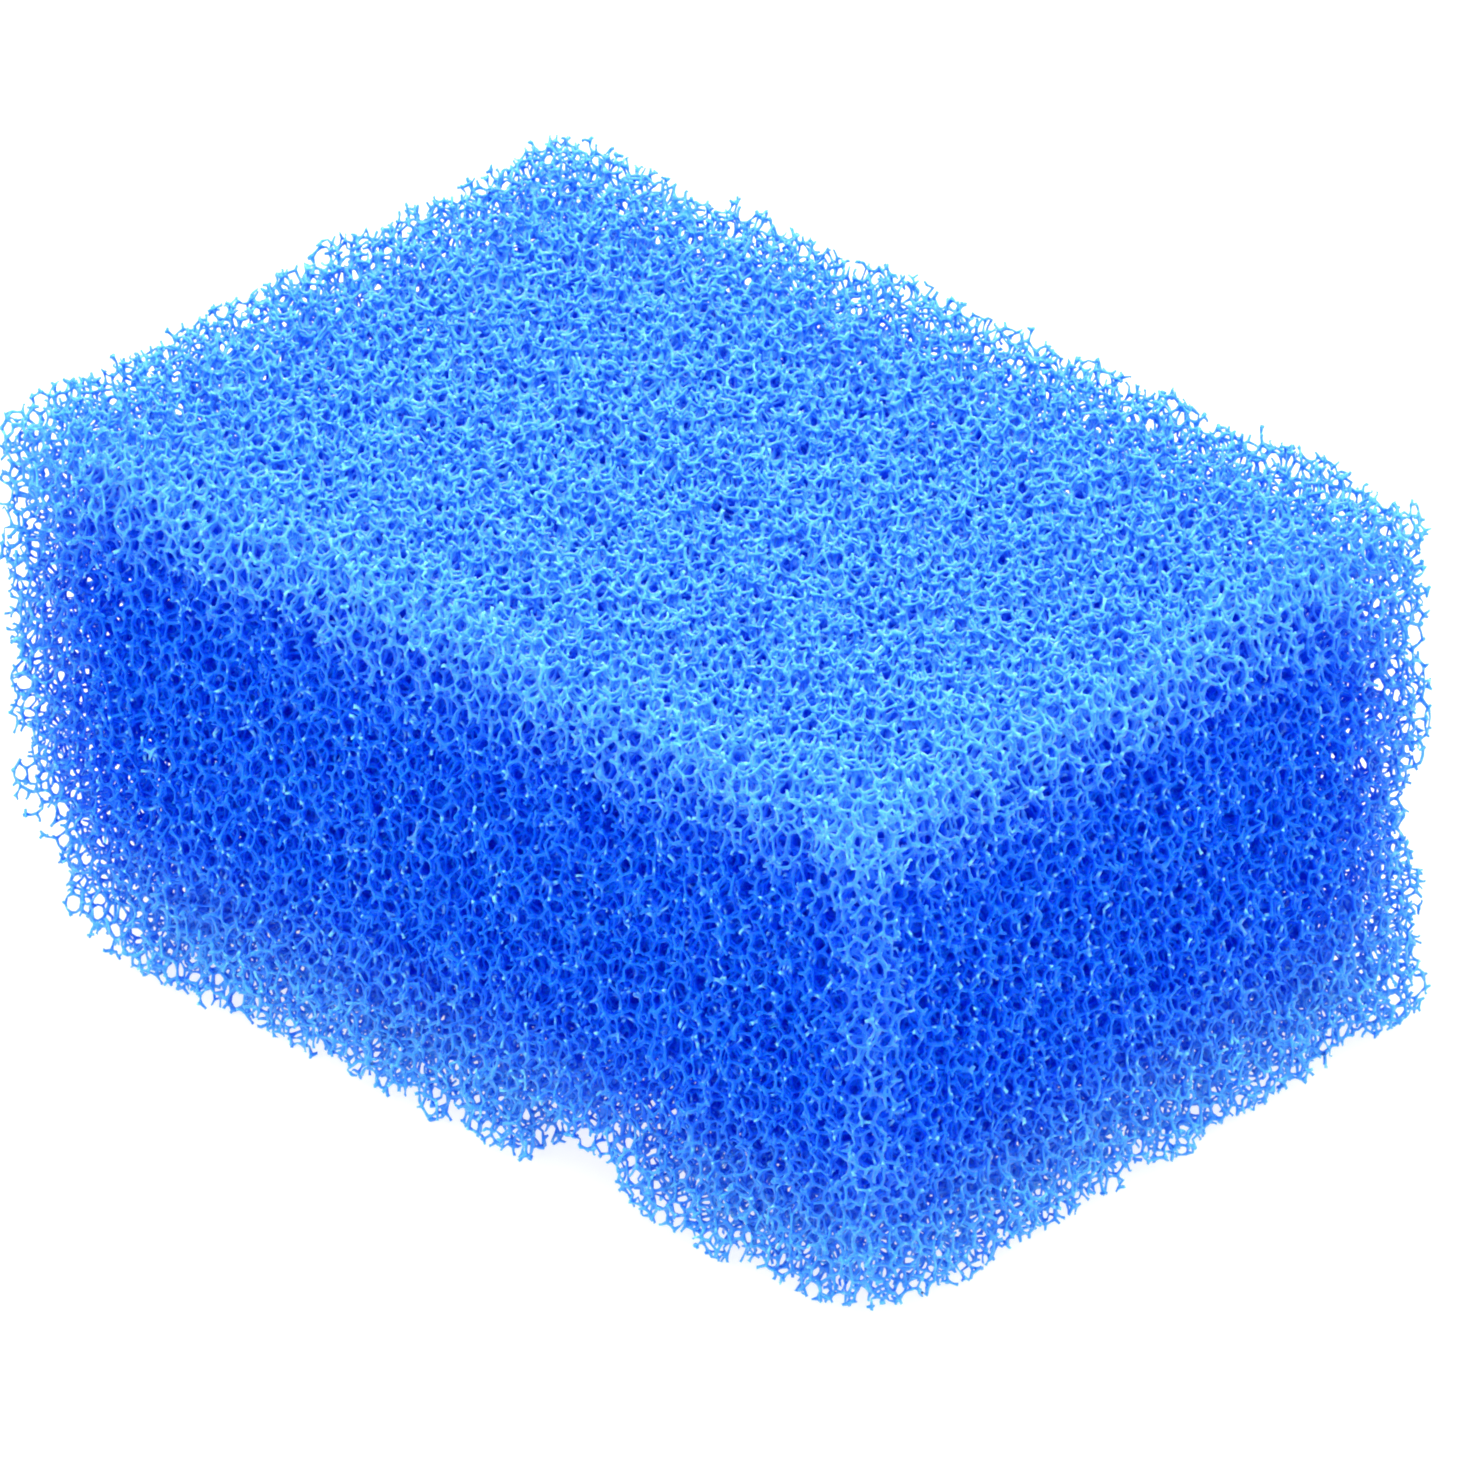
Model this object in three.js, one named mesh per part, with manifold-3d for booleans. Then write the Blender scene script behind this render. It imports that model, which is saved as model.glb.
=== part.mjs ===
// Replacement filter foam for an aquarium or pond filter: one block of coarse open-cell foam.
//
// Millimetres, +Z up. The origin is the centre of the underside. +X runs along the long side,
// +Y along the short side. The block is a single cut piece, so it is one solid: its open cells
// are far smaller than this outline and are left to the finish of the part.

import * as THREE from 'three';
import { mergeVertices } from 'three/addons/utils/BufferGeometryUtils.js';
import Module from 'manifold-3d';

// Overall size of the block.
const LENGTH = 160;
const WIDTH = 111;
const HEIGHT = 80;

// Edges are soft, about one foam cell across.
const EDGE_RADIUS = 5;

// The lower edge of the -X end is cut back.
const RELIEF_RISE = 33;
const RELIEF_RUN = 22;

// A low channel crosses the underside from one long side to the other. It has an upright wall
// on its -X side and a long slope on its +X side.
const CHANNEL_WALL_X = 16.5;
const CHANNEL_WIDTH = 21.5;
const CHANNEL_HEIGHT = 9.5;
const CHANNEL_CROWN_RADIUS = 4;

// A shallow hollow in the upright edge where the +X end meets the +Y side.
const HOLLOW_HEIGHT_ABOVE_BASE = 34;
const HOLLOW_RADIUS = 24;
const HOLLOW_CENTRE_OUTSIDE = 13.5;

// How finely the curves are divided.
const CURVE_SEGMENTS = 6;
const SPHERE_SEGMENTS = 40;

// Cutting outlines run past the block by this much, so that they cut cleanly.
const OVERRUN = 2;

const FOAM_COLOUR = 0x3a83ec;

const wasm = await Module();
wasm.setup();

// A closed three.js geometry as a solid that can be cut.
function solidFrom(geometry) {
  const bare = geometry.clone();
  bare.deleteAttribute('normal');
  bare.deleteAttribute('uv');
  const merged = mergeVertices(bare, 1e-4);
  return new wasm.Manifold(new wasm.Mesh({
    numProp: 3,
    vertProperties: new Float32Array(merged.attributes.position.array),
    triVerts: new Uint32Array(merged.index.array),
  }));
}

// A solid back as a three.js geometry with flat faces.
function geometryFrom(solid) {
  const mesh = solid.getMesh();
  const geometry = new THREE.BufferGeometry();
  const points = new THREE.BufferAttribute(new Float32Array(mesh.vertProperties), 3);
  geometry.setAttribute('position', points);
  geometry.setIndex(new THREE.BufferAttribute(new Uint32Array(mesh.triVerts), 1));
  geometry.computeVertexNormals();
  return geometry;
}

function extruded(shape, depth) {
  const options = { depth, bevelEnabled: false, curveSegments: CURVE_SEGMENTS };
  return new THREE.ExtrudeGeometry(shape, options);
}

// A rectangle about the origin with round corners.
function roundedRectangle(width, height, radius) {
  const x = width / 2;
  const y = height / 2;
  const shape = new THREE.Shape();
  shape.moveTo(-x + radius, -y);
  shape.lineTo(x - radius, -y);
  shape.absarc(x - radius, -y + radius, radius, -Math.PI / 2, 0);
  shape.lineTo(x, y - radius);
  shape.absarc(x - radius, y - radius, radius, 0, Math.PI / 2);
  shape.lineTo(-x + radius, y);
  shape.absarc(-x + radius, y - radius, radius, Math.PI / 2, Math.PI);
  shape.lineTo(-x, -y + radius);
  shape.absarc(-x + radius, -y + radius, radius, Math.PI, Math.PI * 1.5);
  return shape;
}

// The outline seen along +Y: length across, height up, with the relief and the channel.
function sideOutline() {
  const end = LENGTH / 2;
  const crown = CHANNEL_CROWN_RADIUS;
  const shape = new THREE.Shape();
  shape.moveTo(-end, RELIEF_RISE);
  shape.bezierCurveTo(
    -end + 0.2 * RELIEF_RUN, 0.5 * RELIEF_RISE,
    -end + 0.5 * RELIEF_RUN, 0.12 * RELIEF_RISE,
    -end + RELIEF_RUN, 0,
  );
  shape.lineTo(CHANNEL_WALL_X, 0);
  shape.lineTo(CHANNEL_WALL_X, CHANNEL_HEIGHT - crown);
  shape.absarc(CHANNEL_WALL_X + crown, CHANNEL_HEIGHT - crown, crown, Math.PI, Math.PI / 2, true);
  shape.bezierCurveTo(
    CHANNEL_WALL_X + 0.74 * CHANNEL_WIDTH, CHANNEL_HEIGHT,
    CHANNEL_WALL_X + 0.6 * CHANNEL_WIDTH, 0.19 * CHANNEL_HEIGHT,
    CHANNEL_WALL_X + CHANNEL_WIDTH, 0,
  );
  shape.lineTo(end - EDGE_RADIUS, 0);
  shape.absarc(end - EDGE_RADIUS, EDGE_RADIUS, EDGE_RADIUS, -Math.PI / 2, 0);
  shape.lineTo(end, HEIGHT - EDGE_RADIUS);
  shape.absarc(end - EDGE_RADIUS, HEIGHT - EDGE_RADIUS, EDGE_RADIUS, 0, Math.PI / 2);
  shape.lineTo(-end + EDGE_RADIUS, HEIGHT);
  shape.absarc(-end + EDGE_RADIUS, HEIGHT - EDGE_RADIUS, EDGE_RADIUS, Math.PI / 2, Math.PI);
  shape.lineTo(-end, RELIEF_RISE);
  return shape;
}

// The side outline as a bar along Y.
function sideBar() {
  const depth = WIDTH + 2 * OVERRUN;
  return extruded(sideOutline(), depth).rotateX(Math.PI / 2).translate(0, depth / 2, 0);
}

// The plan outline as a bar along Z, which rounds the upright edges.
function planBar() {
  const outline = roundedRectangle(LENGTH, WIDTH, EDGE_RADIUS);
  return extruded(outline, HEIGHT + 2 * OVERRUN).translate(0, 0, -OVERRUN);
}

// The outline of the short side as a bar along X, which rounds the long edges.
function endBar() {
  const length = LENGTH + 2 * OVERRUN;
  const outline = roundedRectangle(WIDTH, HEIGHT, EDGE_RADIUS);
  return extruded(outline, length)
    .rotateZ(Math.PI / 2)
    .rotateY(Math.PI / 2)
    .translate(-length / 2, 0, HEIGHT / 2);
}

// The ball that hollows the upright edge.
function hollowBall() {
  return new THREE.SphereGeometry(HOLLOW_RADIUS, SPHERE_SEGMENTS, SPHERE_SEGMENTS / 2).translate(
    LENGTH / 2 + HOLLOW_CENTRE_OUTSIDE,
    WIDTH / 2 + HOLLOW_CENTRE_OUTSIDE,
    HOLLOW_HEIGHT_ABOVE_BASE,
  );
}

function foamBlock() {
  const block = solidFrom(sideBar())
    .intersect(solidFrom(planBar()))
    .intersect(solidFrom(endBar()))
    .subtract(solidFrom(hollowBall()));
  const material = new THREE.MeshStandardMaterial({
    color: FOAM_COLOUR,
    roughness: 0.6,
    metalness: 0,
    flatShading: true,
  });
  const mesh = new THREE.Mesh(geometryFrom(block), material);
  mesh.name = 'foam_block';
  return mesh;
}

const part = new THREE.Group();
part.add(foamBlock());

export default part;
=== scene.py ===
"""Coarse blue filter foam: the CAD block is replaced by the real network of foam struts.

Foam cells fill the block. Four cells meet at each corner of the network, and each strut runs from
one corner to the next along the line where three cells meet. A cube of cells is made once and
repeated through the block, and the network is then cut to the block's shape.
"""

import itertools
import math

import bpy
import numpy as np
from mathutils import Euler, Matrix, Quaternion, Vector
from mathutils.bvhtree import BVHTree


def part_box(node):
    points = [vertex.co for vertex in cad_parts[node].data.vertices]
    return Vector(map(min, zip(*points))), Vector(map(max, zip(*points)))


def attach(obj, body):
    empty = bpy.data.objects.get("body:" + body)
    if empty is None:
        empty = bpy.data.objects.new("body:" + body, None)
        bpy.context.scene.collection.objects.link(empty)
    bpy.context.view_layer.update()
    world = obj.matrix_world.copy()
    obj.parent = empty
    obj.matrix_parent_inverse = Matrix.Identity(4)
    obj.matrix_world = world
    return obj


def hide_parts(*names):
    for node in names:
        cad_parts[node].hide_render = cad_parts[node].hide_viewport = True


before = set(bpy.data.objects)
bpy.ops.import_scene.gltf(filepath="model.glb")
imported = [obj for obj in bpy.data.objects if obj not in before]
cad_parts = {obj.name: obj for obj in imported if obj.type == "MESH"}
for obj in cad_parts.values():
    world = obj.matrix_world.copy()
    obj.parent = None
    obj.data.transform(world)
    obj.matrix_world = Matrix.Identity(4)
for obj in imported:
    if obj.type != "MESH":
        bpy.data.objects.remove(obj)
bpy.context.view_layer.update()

# ---------------------------------------------------------------- driving dimensions, in metres

# The cells and struts.
CELL_SPACING = 0.0035  # between the middles of neighbouring foam cells, measured level
CELL_STRETCH = 1.35  # the cells are this much taller than wide
STRUT_REACH = 0.056 * CELL_SPACING  # from a strut's middle line to one of its three ridges
STRUT_SPREAD = 0.17  # how much that varies from strut to strut, as a share
CORNER_REACH = 0.082 * CELL_SPACING  # from a corner to a ridge between two struts in line
CORNER_SPREAD = 0.10  # how much that varies from corner to corner, as a share
NARROWEST = 0.55  # between struts at an angle a ridge is further out, by 1 over at least this
BEND = 0.20  # how far a strut bows sideways, as a share of its length

# The blade's cut.
CUT_INSET = 0.0003  # the cut surface lies this far inside the CAD faces
CUT_WAVE = 0.0009  # how far the cut wanders in and out over a few cells
CUT_WAVES = 14  # how many crossing waves make it wander
SHORTEST_WAVE, LONGEST_WAVE = 1.6 * CELL_SPACING, 4 * CELL_SPACING
CUT_SCATTER = 0.0006  # how far the cut differs from strut to strut
TIP_SCATTER = 0.15  # how far a cut tip may be from the cut surface, as a share of its strut
SHORTEST_TIP = 0.15  # a strut cut at a smaller share of its length ends flush with its corner
PAST_MIDDLE = 0.55  # one cut at a larger share of its length keeps its middle ring
LONGEST_TIP = 0.98  # the most that is left of a cut strut, as a share of its length
WORN_DEPTH = 0.0025  # the lower corner where the +X end meets the -Y side is worn off this much
WORN_REACH = 0.012  # over about this distance
DETAIL_DEPTH = 0.006  # struts nearer the surface than this have a middle ring, so they can bow

# The light in the foam, painted into the struts' colour as lighter blue, with deep blue as painted
# shade. For each face, by axis and end: how much it lets in, and how deep.
FACE_LIGHT = {
    (0, 0): (0.42, 0.012),
    (0, 1): (0.22, 0.007),
    (1, 0): (0.22, 0.007),
    (1, 1): (0.42, 0.012),
    (2, 0): (0.52, 0.017),
    (2, 1): (0.64, 0.012),
}
MOTTLE_SPREAD = 0.1  # how much the shade varies from corner to corner, on a scale of 0 to 1
GLINT_SHARE = 0.13  # this share of the struts has a painted glint, a pale fleck

# How the network is made and stored.
TILE_CELLS = 700  # it repeats after a cube of this many cells
TILE_TURN = (0.5, 0.8, 0.3)  # the cubes are turned against the block, so no repeat shows
PIECE_GRID = np.array([6, 2, 2])  # it is stored as this many bricks along each axis

rng = np.random.default_rng(20)

# The four ways to leave out one of a corner's four cells, and the six pairs of its cells.
OTHERS = np.array([[k for k in range(4) if k != out] for out in range(4)])
PAIRS = np.array(list(itertools.combinations(range(4), 2)))
PAIR_OF = np.zeros((4, 4), int)
for number, (one, two) in enumerate(PAIRS):
    PAIR_OF[one, two] = PAIR_OF[two, one] = number


# ---------------------------------------------------------------- one repeating cube of foam


def spread_seeds(count):
    """Cell middles in a repeating unit cube, pushed apart until no two are close."""
    spacing = (math.sqrt(2) / count) ** (1 / 3)
    wanted = 1.02 * spacing
    rounds, largest_push, step = 60, 1.5, 0.25
    points = rng.random((count, 3))
    for _ in range(rounds):
        gap = points[:, None] - points[None]
        gap -= np.round(gap)
        length = np.sqrt((gap**2).sum(2)) + np.eye(count)
        push = np.clip(wanted / length - 1, 0, largest_push)
        np.fill_diagonal(push, 0)
        points = (points + step * (gap * push[..., None]).sum(1)) % 1
    return points, spacing


def circumcentres(a, b, c):
    """The points equally far from the origin and from three others."""
    bc, ca, ab = np.cross(b, c), np.cross(c, a), np.cross(a, b)
    volume = (a * bc).sum(1)
    volume = np.where(np.abs(volume) < 1e-12, np.nan, volume)
    squares = [(v * v).sum(1)[:, None] for v in (a, b, c)]
    return (squares[0] * bc + squares[1] * ca + squares[2] * ab) / (2 * volume[:, None])


def cell_corners(points, spacing):
    """Where four cells meet: each corner's place, its four cells and where their middles are from it."""
    largest = 1.05 * spacing  # no corner is further than this from the middles of its cells
    places, cells, offsets = [], [], []
    triples = {}
    for i, seed in enumerate(points):
        gap = points - seed
        gap -= np.round(gap)
        close = np.flatnonzero((gap**2).sum(1) < (2 * largest) ** 2)
        close = close[close != i]
        around = gap[close]
        later = np.flatnonzero(close > i)
        if len(later) < 3:
            continue
        if len(later) not in triples:
            triples[len(later)] = np.array(list(itertools.combinations(range(len(later)), 3)))
        trio = later[triples[len(later)]]
        centre = circumcentres(*(around[trio[:, k]] for k in range(3)))
        radius = (centre**2).sum(1)
        fits = radius < largest**2
        trio, centre, radius = trio[fits], centre[fits], radius[fits]
        nearest = ((centre[:, None] - around[None]) ** 2).sum(2).min(1)
        empty = nearest > radius * (1 - 1e-9)
        trio, centre = trio[empty], centre[empty]
        first = np.zeros((len(trio), 1, 3))
        where = np.concatenate([first, around[trio]], axis=1) - centre[:, None]
        which = np.concatenate([np.full((len(trio), 1), i), close[trio]], axis=1)
        order = np.argsort(which, axis=1)
        cells.append(np.take_along_axis(which, order, 1))
        offsets.append(np.take_along_axis(where, order[..., None], 1))
        places.append(seed + centre)
    return np.concatenate(places), np.concatenate(cells), np.concatenate(offsets)


def strut_links(places, cells, offsets):
    """For each corner and each of its cells, where the strut that misses that cell leads.

    Returns the far corner and the cube it is in, as a step.
    """
    trios = cells[:, OTHERS].reshape(-1, 3)
    key = (trios[:, 0] * TILE_CELLS + trios[:, 1]) * TILE_CELLS + trios[:, 2]
    pairs = np.argsort(key, kind="stable").reshape(-1, 2)
    if (key[pairs[:, 0]] != key[pairs[:, 1]]).any():
        raise RuntimeError("the cells do not close up")
    far = np.zeros(len(key), int)
    step = np.zeros((len(key), 3), int)
    for one, two in (pairs.T, pairs.T[::-1]):
        a, b = one // 4, two // 4
        shared_a = places[a] + offsets[a, (one % 4 == 0).astype(int)]
        shared_b = places[b] + offsets[b, (two % 4 == 0).astype(int)]
        far[one], step[one] = b, np.round(shared_a - shared_b)
    return far.reshape(-1, 4), step.reshape(-1, 4, 3)


def settled(places, far, step, rounds, pull):
    """Every corner drawn towards the middle of its four neighbours, which evens out short struts."""
    for _ in range(rounds):
        places = places + pull * ((places[far] + step).mean(1) - places)
    return places


def ring_order(offsets):
    """For each corner and strut, its three pairs of cells in order round the strut, going outwards."""
    order = np.zeros((len(offsets), 4, 3), int)
    for out in range(4):
        p, q, r = OTHERS[out]
        normal = np.cross(offsets[:, q] - offsets[:, p], offsets[:, r] - offsets[:, p])
        forward = ((offsets[:, p] - offsets[:, out]) * normal).sum(1) > 0
        one = [PAIR_OF[p, q], PAIR_OF[q, r], PAIR_OF[r, p]]
        two = [PAIR_OF[p, r], PAIR_OF[r, q], PAIR_OF[q, p]]
        order[:, out] = np.where(forward[:, None], one, two)
    return order


def far_ring_order(order, cells, far):
    """The same pairs of cells as the corner at the strut's far end numbers them."""
    result = np.zeros_like(order)
    for out in range(4):
        pair = PAIRS[order[:, out]]
        cell = np.take_along_axis(cells[:, None, :].repeat(3, 1), pair, 2)
        far_cells = cells[far[:, out]]
        slot = (far_cells[:, None, None, :] == cell[..., None]).argmax(3)
        result[:, out] = PAIR_OF[slot[..., 0], slot[..., 1]]
    return result


seeds, unit_spacing = spread_seeds(TILE_CELLS)
corner, corner_cells, corner_offsets = cell_corners(seeds, unit_spacing)
corner_far, corner_step = strut_links(corner, corner_cells, corner_offsets)
corner = settled(corner, corner_far, corner_step, rounds=3, pull=0.5)
RING = ring_order(corner_offsets)
FAR_RING = far_ring_order(RING, corner_cells, corner_far)

# Which way round each corner's cells go.
RIGHT_HANDED = np.linalg.det(corner_offsets[:, [1, 2, 3]] - corner_offsets[:, [0]]) > 0


# ---------------------------------------------------------------- the network through the block

cad_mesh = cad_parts["foam_block"].data
surface = BVHTree.FromPolygons(
    [v.co for v in cad_mesh.vertices], [tuple(p.vertices) for p in cad_mesh.polygons]
)
BOX = np.array([list(c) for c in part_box("foam_block")])

# Every corner of every cube that touches the block, numbered cube by cube.
tile_size = CELL_SPACING * (TILE_CELLS / math.sqrt(2)) ** (1 / 3)
turn = np.array(Euler(TILE_TURN).to_matrix())
box_corners = np.array(list(itertools.product(*BOX.T)))
in_tiles = (box_corners / (1, 1, CELL_STRETCH)) @ turn / tile_size
low = np.floor(in_tiles.min(0)).astype(int) - 1
count = np.ceil(in_tiles.max(0)).astype(int) + 1 - low
cube = np.stack(np.meshgrid(*(np.arange(n) for n in count), indexing="ij"), -1).reshape(-1, 3)
stride = np.array([count[1] * count[2], count[2], 1]) * len(corner)
points = ((corner[None] + (cube + low)[:, None]) * tile_size).reshape(-1, 3) @ turn.T
points[:, 2] *= CELL_STRETCH


def neighbours(index):
    """The four corners next to each corner, by number."""
    kind = index % len(corner)
    first = index - kind
    return first[:, None] + corner_step[kind] @ stride + corner_far[kind]


def depth_inside(points):
    """How far each point is inside the CAD block's surface, negative outside."""
    depth = np.empty(len(points))
    for i, p in enumerate(points):
        p = Vector(p)
        place, normal, _, far = surface.find_nearest(p)
        depth[i] = far if (p - place).dot(normal) < 0 else -far
    return depth


def waves(points, count, longest, shortest):
    """Smooth noise from crossing waves, about -1 to 1."""
    total = np.zeros(len(points))
    for _ in range(count):
        way = rng.normal(size=3)
        way *= 2 * math.pi / rng.uniform(shortest, longest) / np.linalg.norm(way)
        total += np.sin(points @ way + rng.uniform(0, 2 * math.pi))
    highest = 1.6  # in multiples of the usual height
    return total / math.sqrt(count / 2) / highest


def depth_in_cut(points, depth):
    """How far each point is inside the blade's cut, which wanders and is worn off at one corner."""
    depth = depth - CUT_INSET - CUT_WAVE * waves(points, CUT_WAVES, LONGEST_WAVE, SHORTEST_WAVE)
    depth += CUT_SCATTER * rng.uniform(-1, 1, len(points))
    worn_corner = [BOX[1, 0], BOX[0, 1], BOX[0, 2]]
    away = np.linalg.norm(points - worn_corner, axis=1)
    return depth - WORN_DEPTH * np.exp(-((away / WORN_REACH) ** 2))


margin = 1.5 * CELL_SPACING
near = np.flatnonzero(((points > BOX[0] - margin) & (points < BOX[1] + margin)).all(1))
depth = np.full(len(points), -1.0)
depth[near] = depth_inside(points[near])
cut_depth = np.full(len(points), -1.0)
cut_depth[near] = depth_in_cut(points[near], depth[near])


def joined(keep, rounds=30):
    """The kept corners that hang together with the middle of the block, so no crumbs are left."""
    core_depth = 2 * CELL_SPACING
    inside = np.flatnonzero(keep)
    links = neighbours(inside)
    reached = np.zeros(len(points), bool)
    reached[inside[depth[inside] > core_depth]] = True
    for _ in range(rounds):
        reached[inside[reached[links].any(1)]] = True
    return keep & reached


keep = joined(cut_depth > 0)
inside = np.flatnonzero(keep)
links = neighbours(inside)


def light_reach(where):
    """How much light reaches each point through the faces, painted into its colour: 0 deep inside, most
    at upper corners.
    """
    dark = np.ones(len(where))
    for (axis, end), (share, reach) in FACE_LIGHT.items():
        gap = np.maximum(BOX[1, axis] - where[:, axis] if end else where[:, axis] - BOX[0, axis], 0)
        dark *= 1 - share * np.exp(-((gap / reach) ** 2))
    return 1 - dark


# ---------------------------------------------------------------- the struts' surface

corner_thickness = np.exp(rng.normal(0, CORNER_SPREAD, len(points)))


def unit(v):
    return v / np.maximum(np.linalg.norm(v, axis=-1, keepdims=True), 1e-12)


def ridge_points(index):
    """Six points round each corner, one between each pair of its cells, where its ridges meet."""
    away = unit(points[neighbours(index)] - points[index][:, None])
    result = np.empty((len(index), 6, 3))
    for number, (p, q) in enumerate(PAIRS):
        r, s = (k for k in range(4) if k not in (p, q))
        both = away[:, r] + away[:, s]
        half_sine = np.sqrt(np.clip(1 - (away[:, r] * away[:, s]).sum(1), 0, 2) / 2)
        reach = CORNER_REACH * corner_thickness[index] / np.maximum(half_sine, NARROWEST)
        result[:, number] = points[index] + unit(both) * reach[:, None]
    return result


# The ridges, by row: those of the kept corners and of the corners just outside.
touched = np.unique(np.concatenate([inside, links.ravel()]))
row = np.full(len(points), -1)
row[touched] = np.arange(len(touched))
ridges = ridge_points(touched)

# The two shades of each corner: painted light, from how open it is to the light, and its mottle, whose
# highest values paint glints.
painted_light = np.zeros(len(points))
painted_light[touched] = light_reach(points[touched])
mottle_and_glint = np.clip(0.5 + MOTTLE_SPREAD * rng.normal(size=len(points)), 0, 1)

# Every strut from a kept corner, with its rings of three points at each end and in the middle.
start = np.repeat(inside, 4)
out = np.tile(np.arange(4), len(inside))
end = links.ravel()
kind = start % len(corner)
single = np.flatnonzero(~keep[end] | (start < end))  # a whole strut is met from both ends
ring_a, ring_b = RING[kind, out][single], FAR_RING[kind, out][single]
start, end = start[single], end[single]
whole = keep[end]
ends_a = np.take_along_axis(ridges[row[start]], ring_a[..., None], 1)
ends_b = np.take_along_axis(ridges[row[end]], ring_b[..., None], 1)
a, b = points[start], points[end]
along = unit(b - a)
lean = ends_a - a[:, None] + ends_b - b[:, None]
lean -= (lean * along[:, None]).sum(2, keepdims=True) * along[:, None]
bow = np.cross(along, rng.normal(size=along.shape)) * np.linalg.norm(b - a, axis=1)[:, None]
middle = (a + b) / 2 + BEND * bow * rng.uniform(-1, 1, (len(a), 1))
thickness = STRUT_REACH * np.exp(rng.normal(0, STRUT_SPREAD, len(a)))
middles = middle[:, None] + unit(lean) * thickness[:, None, None]

# Where the blade cuts a strut, as a share of its length, and which struts have a painted glint, a pale
# fleck.
cut_at = cut_depth[start] / np.maximum(cut_depth[start] - cut_depth[end], 1e-9)
cut_at = np.clip(cut_at + rng.uniform(-TIP_SCATTER, TIP_SCATTER, len(a)), 0, LONGEST_TIP)
# A painted glint on this share of the struts; the rest keep their first corner's mottle.
strut_mottle_and_glint = np.where(rng.random(len(a)) < GLINT_SHARE, 1, mottle_and_glint[start])

# The brick that each kept corner is in.
brick_size = (BOX[1] - BOX[0]) / PIECE_GRID
place = np.clip((points[inside] - BOX[0]) // brick_size, 0, PIECE_GRID - 1).astype(int)
brick = np.full(len(points), -1)
brick[inside] = (place[:, 0] * PIECE_GRID[1] + place[:, 1]) * PIECE_GRID[2] + place[:, 2]

# The face towards each cell of a corner, for corners of either hand, seen from outside.
CORNER_FACES = {True: [], False: []}
for p in range(4):
    q, r, s = OTHERS[p]
    one = [PAIR_OF[p, q], PAIR_OF[p, s], PAIR_OF[p, r]]
    two = [PAIR_OF[p, q], PAIR_OF[p, r], PAIR_OF[p, s]]
    CORNER_FACES[True].append(two if p % 2 else one)
    CORNER_FACES[False].append(one if p % 2 else two)


class Surface:
    """Points, faces and shades gathered for one mesh."""

    def __init__(self):
        self.points, self.shades = [], []
        self.quads, self.triangles, self.caps = [], [], []
        self.size = 0

    def add(self, where, painted_lights, mottles_and_glints):
        """Adds a row of points for each pair of shades and returns their numbers."""
        flat = where.reshape(-1, 3)
        self.points.append(flat)
        shade = np.stack([painted_lights, mottles_and_glints], -1)[:, None]
        self.shades.append(shade.repeat(where.shape[1], 1).reshape(-1, 2))
        numbers = self.size + np.arange(len(flat)).reshape(where.shape[:-1])
        self.size += len(flat)
        return numbers

    def sleeve(self, one, two):
        """Three four-sided faces between two rings of three points."""
        for k in range(3):
            n = (k + 1) % 3
            self.quads.append(np.stack([one[:, k], one[:, n], two[:, n], two[:, k]], 1))


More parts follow.
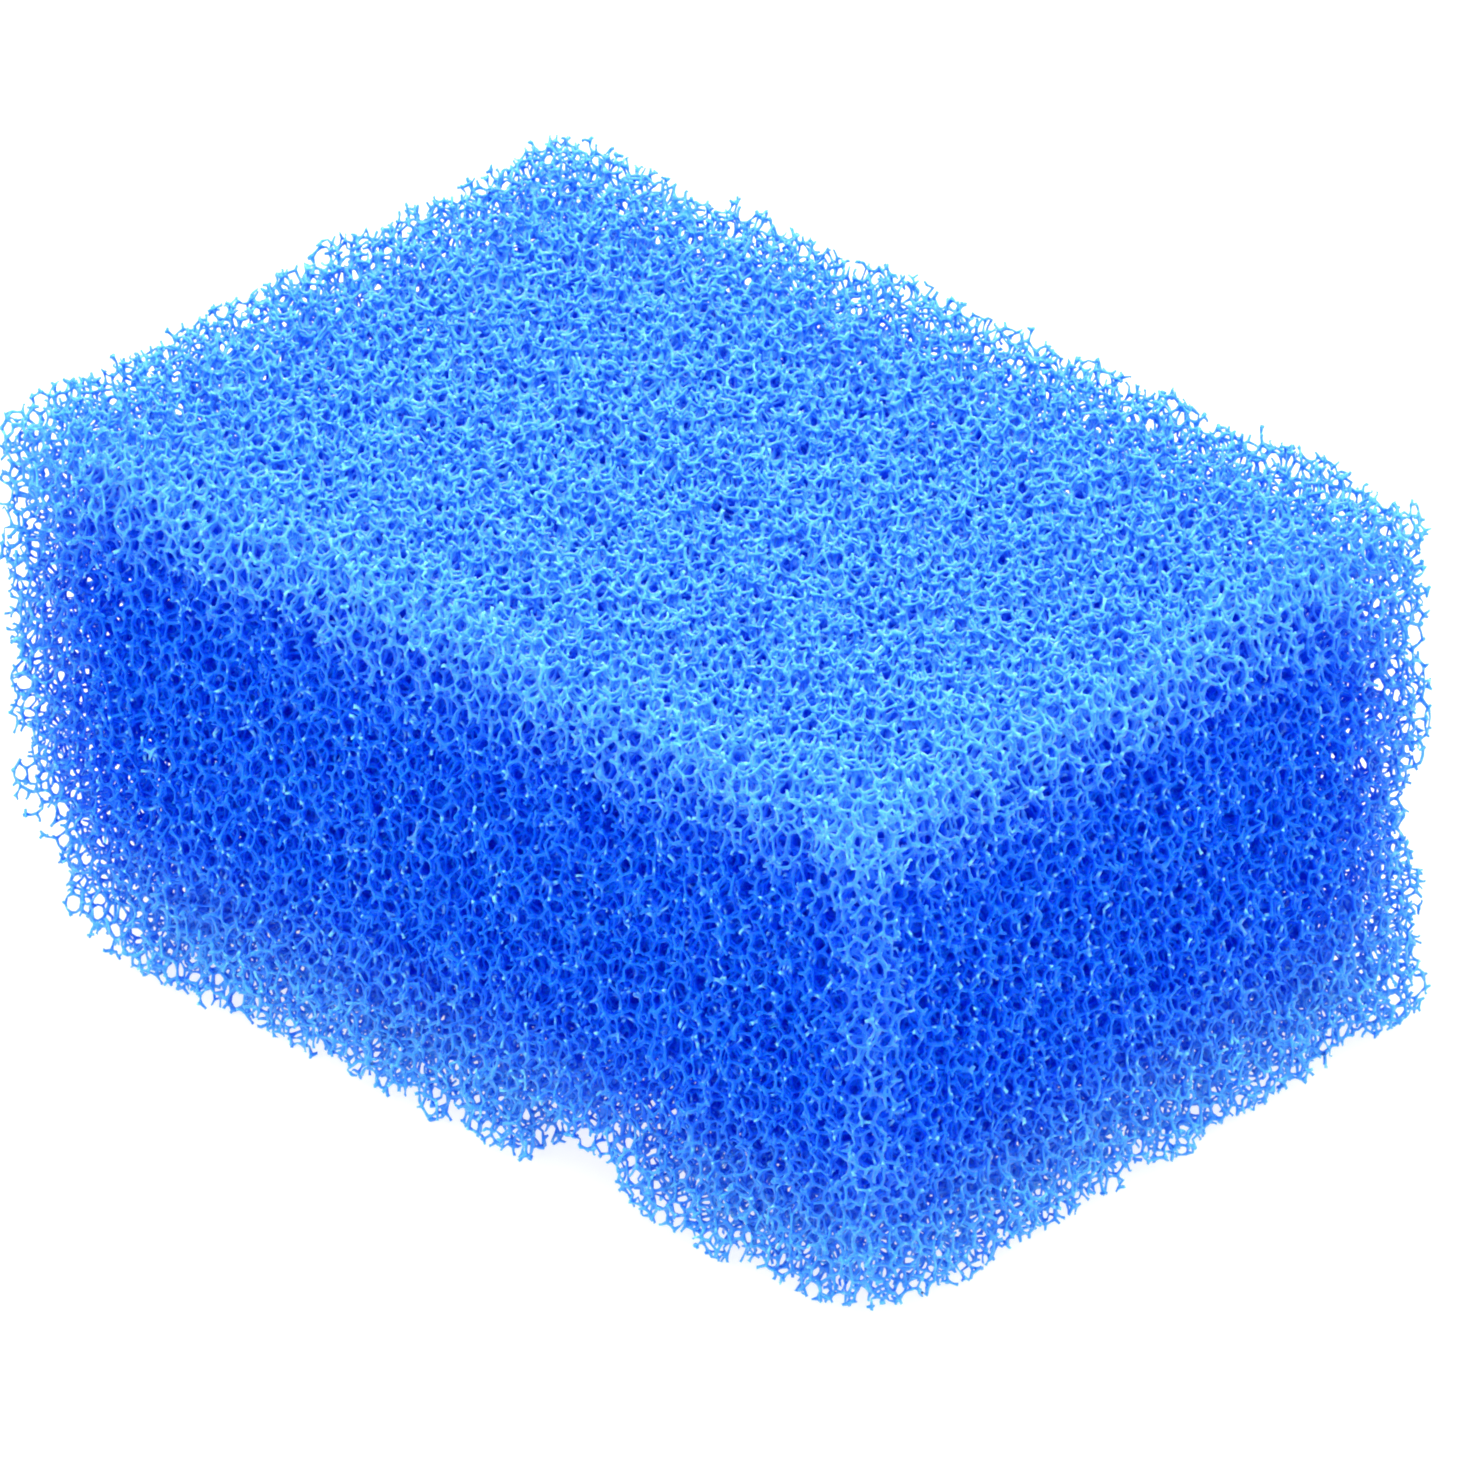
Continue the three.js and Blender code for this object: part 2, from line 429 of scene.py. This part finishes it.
class Brick(Surface):
    """The foam of one brick as a closed surface. Struts that leave it end in flat caps."""

    def __init__(self, number):
        super().__init__()
        self.add_corners(inside[brick[inside] == number])
        from_here, to_here = brick[start] == number, brick[end] == number
        self.add_whole_struts(np.flatnonzero(from_here & to_here))
        self.add_half_struts(np.flatnonzero(from_here & whole & ~to_here), start, ring_a)
        self.add_half_struts(np.flatnonzero(to_here & ~from_here), end, ring_b, flipped=True)
        self.add_cut_struts(np.flatnonzero(from_here & ~whole))

    def add_corners(self, own):
        """The four triangles round each corner, which join its struts."""
        self.row_of = np.full(len(points), -1)
        self.row_of[own] = np.arange(len(own))
        self.corner_ids = self.add(ridges[row[own]], painted_light[own], mottle_and_glint[own])
        right = RIGHT_HANDED[own % len(corner)]
        for hand, faces in CORNER_FACES.items():
            for face in faces:
                self.triangles.append(self.corner_ids[right == hand][:, face])

    def ring(self, corners, order):
        """The ridge points round one strut of each corner."""
        return np.take_along_axis(self.corner_ids[self.row_of[corners]], order, 1)

    def add_whole_struts(self, struts):
        """Struts with both ends in this brick. Those near the surface have a middle ring."""
        first, last = self.ring(start[struts], ring_a[struts]), self.ring(end[struts], ring_b[struts])
        fine = (depth[start[struts]] + depth[end[struts]]) / 2 < DETAIL_DEPTH
        self.sleeve(first[~fine], last[~fine])
        bent = struts[fine]
        painted_lights = (painted_light[start[bent]] + painted_light[end[bent]]) / 2
        ring = self.add(middles[bent], painted_lights, strut_mottle_and_glint[bent])
        self.sleeve(first[fine], ring)
        self.sleeve(ring, last[fine])

    def add_half_struts(self, struts, ends, order, flipped=False):
        """Struts that run into a neighbouring brick, cut at the middle."""
        near_ring = self.ring(ends[struts], order[struts])
        ring = self.add(middles[struts], painted_light[ends[struts]], mottle_and_glint[ends[struts]])
        if flipped:
            near_ring, ring = near_ring[:, ::-1], ring[:, ::-1]
        self.sleeve(near_ring, ring)
        self.caps.append(ring)

    def add_cut_struts(self, struts):
        """Struts cut by the blade: stumps, tips short of the middle and tips beyond it."""
        near_ring = self.ring(start[struts], ring_a[struts])
        share = cut_at[struts]
        stump, long = share < SHORTEST_TIP, share >= PAST_MIDDLE
        short = ~stump & ~long
        self.caps.append(near_ring[stump])
        blend = (share / 0.5)[:, None, None]
        tip = ends_a[struts] * (1 - blend) + middles[struts] * blend
        self.add_tips(near_ring[short], tip[short], struts[short])
        blend = ((share - 0.5) / 0.5)[:, None, None]
        tip = middles[struts] * (1 - blend) + ends_b[struts] * blend
        ring = self.add(middles[struts[long]], painted_light[start[struts[long]]], strut_mottle_and_glint[struts[long]])
        self.sleeve(near_ring[long], ring)
        self.add_tips(ring, tip[long], struts[long])

    def add_tips(self, ring, tip, struts):
        """The last stretch of cut struts, from a ring to the flat cut."""
        tip_ring = self.add(tip, painted_light[start[struts]], strut_mottle_and_glint[struts])
        self.sleeve(ring, tip_ring)
        self.caps.append(tip_ring)


UV_NAME = "OFBake"  # the map that holds the shades: each point's place on it is its pair of shades


def mesh_from(shape, name):
    """A mesh with smooth struts, flat caps and the shades as a map."""
    vertices = np.concatenate(shape.points)
    kinds = [np.concatenate(k) for k in (shape.quads, shape.triangles, shape.caps)]
    mesh = bpy.data.meshes.new(name)
    mesh.vertices.add(len(vertices))
    mesh.vertices.foreach_set("co", vertices.astype(np.float32).ravel())
    loops = np.concatenate([k.ravel() for k in kinds]).astype(np.int32)
    sides = np.concatenate([np.full(len(k), k.shape[1]) for k in kinds])
    starts = np.concatenate([[0], np.cumsum(sides)[:-1]]).astype(np.int32)
    mesh.loops.add(len(loops))
    mesh.loops.foreach_set("vertex_index", loops)
    mesh.polygons.add(len(starts))
    mesh.polygons.foreach_set("loop_start", starts)
    shades = np.concatenate(shape.shades)
    uv = mesh.uv_layers.new(name=UV_NAME, do_init=False)
    uv.uv.foreach_set("vector", shades[loops].astype(np.float32).ravel())
    mesh.update(calc_edges=True)
    smooth = np.arange(len(starts)) < len(starts) - len(kinds[2])
    mesh.polygons.foreach_set("use_smooth", smooth)
    return mesh


# ---------------------------------------------------------------- the foam's material

# Painted light and shade: shaded blue for struts that little light reaches, lit blue for those it
# reaches, and highlight blue for painted highlights along open edges and for painted glints.
SHADED_BLUE = (0.000, 0.142, 0.997, 1)
LIT_BLUE = (0.080, 0.400, 0.975, 1)
HIGHLIGHT_BLUE = (0.170, 0.600, 0.980, 1)

LIGHT_RANGE = (0.15, 0.58)  # the painted light over which shaded blue turns into lit blue
MOTTLE_RANGE, MOTTLE_EFFECT = (0.25, 0.75), (0.6, 1.2)  # the mottle, and how it scales that
EDGE_RANGE, EDGE_HIGHLIGHT = (0.72, 1), (0, 0.5)  # the painted light over which lit blue turns towards highlight blue: a painted highlight along open edges and corners
GLINT_RANGE = (0.62, 1)  # the mottle over which any blue turns into highlight blue: painted glints
ROUGHNESS_RANGE = (0.30, 0.45)  # from the least mottle to the most
SHINE = 0.14  # the specular level, where a usual plastic has 0.5
LIGHT_SPREAD = 0.0003  # metres that light travels inside a strut
# A painted glow: the foam gives no light, and this stands in for light carried deep into it.
GLOW_BLUE, GLOW = (0, 0.035, 1, 1), 0.038


class Nodes:
    """Short ways to add the nodes of one material or world."""

    def __init__(self, owner):
        owner.use_nodes = True
        self.nodes, self.link = owner.node_tree.nodes, owner.node_tree.links.new

    def ramp(self, value, before, after, kind="SMOOTHSTEP"):
        """Maps the range before onto the range after."""
        node = self.nodes.new("ShaderNodeMapRange")
        node.interpolation_type = kind
        names = ("From Min", "From Max", "To Min", "To Max")
        for name, number in zip(names, (*before, *after)):
            node.inputs[name].default_value = number
        self.link(value, node.inputs["Value"])
        return node.outputs["Result"]

    def maths(self, operation, one, two, clamp=False):
        node = self.nodes.new("ShaderNodeMath")
        node.operation, node.use_clamp = operation, clamp
        self.link(one, node.inputs[0])
        self.link(two, node.inputs[1])
        return node.outputs[0]

    def mix(self, factor, colour):
        """A colour mix node, with its factor and its second colour set."""
        node = self.nodes.new("ShaderNodeMix")
        node.data_type = "RGBA"
        node.inputs["B"].default_value = colour
        self.link(factor, node.inputs["Factor"])
        return node


def foam_material():
    """Blue foam with painted light and shade: deep and even inside, painted paler where it is open to
    the light, mottled, and with painted glints as pale flecks.
    """
    material = bpy.data.materials.new("foam")
    tree = Nodes(material)
    shader = tree.nodes["Principled BSDF"]
    chart = tree.nodes.new("ShaderNodeUVMap")
    chart.uv_map = UV_NAME
    split = tree.nodes.new("ShaderNodeSeparateXYZ")
    tree.link(chart.outputs["UV"], split.inputs[0])
    painted_lights, mottles_and_glints = split.outputs["X"], split.outputs["Y"]

    # Painted light and shade: lit blue where light reaches the foam, shaded blue deep inside, scaled by
    # the mottle.
    painted_lightness = tree.ramp(painted_lights, LIGHT_RANGE, (0, 1))
    variation = tree.ramp(mottles_and_glints, MOTTLE_RANGE, MOTTLE_EFFECT, kind="LINEAR")
    light = tree.mix(tree.maths("MULTIPLY", painted_lightness, variation, clamp=True), LIT_BLUE)
    light.inputs["A"].default_value = SHADED_BLUE

    # Painted highlights: paler along the open edges and corners, and on the glints.
    edge_highlight = tree.ramp(painted_lights, EDGE_RANGE, EDGE_HIGHLIGHT)
    on_glints = tree.ramp(mottles_and_glints, GLINT_RANGE, (0, 1))
    highlighted = tree.mix(tree.maths("MAXIMUM", edge_highlight, on_glints), HIGHLIGHT_BLUE)
    tree.link(light.outputs["Result"], highlighted.inputs["A"])
    tree.link(highlighted.outputs["Result"], shader.inputs["Base Color"])

    roughness = tree.ramp(mottles_and_glints, (0, 1), ROUGHNESS_RANGE, kind="LINEAR")
    tree.link(roughness, shader.inputs["Roughness"])
    shader.inputs["Specular IOR Level"].default_value = SHINE

    # Light passes through the thin struts, and a faint painted glow keeps the deepest pores blue,
    # standing in for light carried deep into the foam.
    shader.inputs["Subsurface Weight"].default_value = 1.0
    shader.inputs["Subsurface Radius"].default_value = (1, 1, 1)
    shader.inputs["Subsurface Scale"].default_value = LIGHT_SPREAD
    shader.inputs["Emission Color"].default_value = GLOW_BLUE
    shader.inputs["Emission Strength"].default_value = GLOW
    return material


def add_foam():
    """One object for each brick of the network, in place of the CAD block."""
    material = foam_material()
    for number in range(PIECE_GRID.prod()):
        mesh = mesh_from(Brick(number), f"foam_{number + 1:02d}")
        mesh.materials.append(material)
        piece = bpy.data.objects.new(mesh.name, mesh)
        bpy.context.scene.collection.objects.link(piece)
        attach(piece, "root")
        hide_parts("foam_block")


# ---------------------------------------------------------------- stage, light and camera

LONG, _, HIGH = BOX[1] - BOX[0]
VIEW_AZIMUTH, VIEW_ELEVATION, VIEW_ROLL = (math.radians(a) for a in (43.43, 30.17, -0.59))
VIEW_TARGET = np.array([0.0348 * LONG, -0.0177 * LONG, 0.51 * HIGH])
VIEW_DISTANCE = 12.50 * LONG
SENSOR_WIDTH, LENS = 36, 372.378  # millimetres

FLOOR_HALF, FLOOR_GREY, FLOOR_GLOW = 3, (0.35, 0.35, 0.35, 1), 0.8
LAMP_PLACE, LAMP_SIZE, LAMP_POWER = (0.12, -0.13, 1.2), 0.16, 6
LAMP_AIM = (0, 0, 0.03)
SKY_AT_HORIZON, SKY_OVERHEAD = 0.65, 2.5
SKY_BRIGHT_FROM = 0.9  # the height on a unit sphere from which the sky is at its brightest
BOUNCES = 32
PICTURE_SOFTNESS = 2.2  # pixels


def add_camera():
    """A long lens from the photo's side: the +X end and the -Y side show, and the top."""
    level = math.cos(VIEW_ELEVATION)
    back = np.array([
        math.sin(VIEW_AZIMUTH) * level,
        -math.cos(VIEW_AZIMUTH) * level,
        math.sin(VIEW_ELEVATION),
    ])
    data = bpy.data.cameras.new("camera")
    data.sensor_width, data.lens = SENSOR_WIDTH, LENS
    data.clip_start, data.clip_end = 0.01, 20
    camera = bpy.data.objects.new("camera", data)
    camera.location = VIEW_TARGET + back * VIEW_DISTANCE
    roll = Quaternion((0, 0, 1), VIEW_ROLL)
    camera.rotation_euler = (Vector(back).to_track_quat("Z", "Y") @ roll).to_euler()
    bpy.context.scene.collection.objects.link(camera)
    bpy.context.scene.camera = camera


def floor_material():
    """A plain pale floor. It glows a little, so that the block's shadow on it is faint."""
    material = bpy.data.materials.new("floor")
    material.use_nodes = True
    shader = material.node_tree.nodes["Principled BSDF"]
    shader.inputs["Base Color"].default_value = FLOOR_GREY
    shader.inputs["Roughness"].default_value = 0.9
    shader.inputs["Emission Color"].default_value = (1, 1, 1, 1)
    shader.inputs["Emission Strength"].default_value = FLOOR_GLOW
    return material


def add_floor():
    mesh = bpy.data.meshes.new("floor")
    sides = ((-1, -1), (1, -1), (1, 1), (-1, 1))
    mesh.from_pydata([(x * FLOOR_HALF, y * FLOOR_HALF, 0) for x, y in sides], [], [(0, 1, 2, 3)])
    mesh.materials.append(floor_material())
    floor = bpy.data.objects.new("floor", mesh)
    bpy.context.scene.collection.objects.link(floor)


def add_lamp():
    """A soft light from above the camera's side."""
    data = bpy.data.lights.new("top", "AREA")
    data.shape, data.size, data.energy = "SQUARE", LAMP_SIZE, LAMP_POWER
    lamp = bpy.data.objects.new("top", data)
    lamp.location = LAMP_PLACE
    lamp.rotation_euler = (Vector(LAMP_PLACE) - Vector(LAMP_AIM)).to_track_quat("Z", "Y").to_euler()
    bpy.context.scene.collection.objects.link(lamp)


def add_sky():
    """White light all round, brightest overhead."""
    world = bpy.data.worlds.new("studio")
    tree = Nodes(world)
    where = tree.nodes.new("ShaderNodeTexCoord")
    split = tree.nodes.new("ShaderNodeSeparateXYZ")
    tree.link(where.outputs["Generated"], split.inputs[0])
    strength = tree.ramp(split.outputs["Z"], (0, SKY_BRIGHT_FROM), (SKY_AT_HORIZON, SKY_OVERHEAD))
    background = tree.nodes["Background"]
    tree.link(strength, background.inputs["Strength"])
    background.inputs["Color"].default_value = (1, 1, 1, 1)
    bpy.context.scene.world = world


add_foam()
add_camera()
add_floor()
add_lamp()
add_sky()

# Light is passed on many times inside foam, and the picture is slightly soft.
bpy.context.scene.view_settings.view_transform = "Standard"
bpy.context.scene.cycles.max_bounces = BOUNCES
bpy.context.scene.cycles.diffuse_bounces = BOUNCES
bpy.context.scene.cycles.filter_width = PICTURE_SOFTNESS
